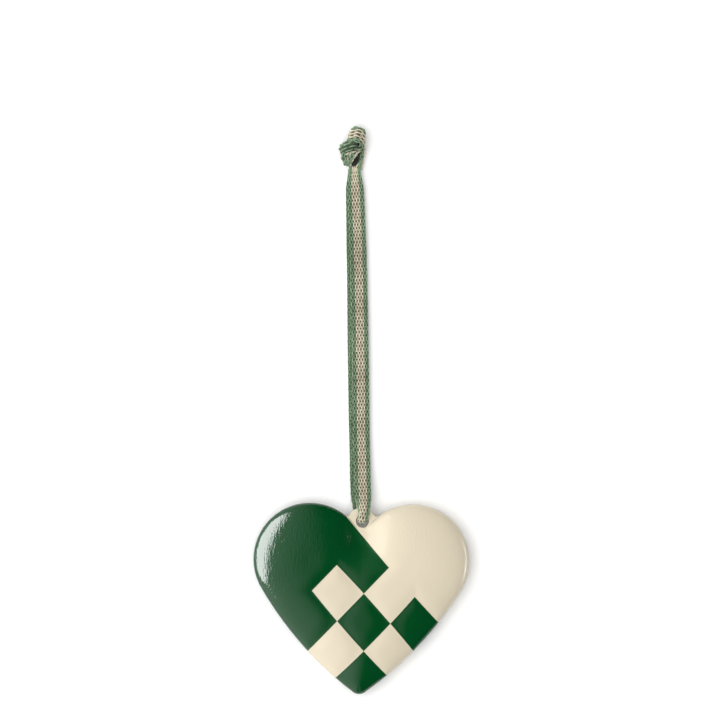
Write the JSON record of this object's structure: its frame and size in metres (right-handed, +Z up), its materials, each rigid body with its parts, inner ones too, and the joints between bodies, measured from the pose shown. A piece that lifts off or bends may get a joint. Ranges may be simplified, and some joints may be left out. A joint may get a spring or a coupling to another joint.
{
  "type": "heart ornament",
  "caption": "Domed enamelled heart with painted woven-heart checks and a flat hanging eye, on a loop of narrow woven ribbon knotted at its top.",
  "frame": {"origin": "on the surface it lies on, under the middle of the heart", "axes": "+Z up out of the painted front, +X to the right of the heart as seen from the front, +Y from the heart's point towards its ribbon"},
  "size_m": [0.06, 0.1576, 0.009],
  "materials": {
    "enamelled_metal": "gloss",
    "woven_ribbon": "woven"
  },
  "bodies": {
    "root": {"heart_body": "enamelled_metal", "front_ribbon_strand": "woven_ribbon", "back_ribbon_strand": "woven_ribbon", "ribbon_knot": "woven_ribbon"}
  },
  "joints": []
}
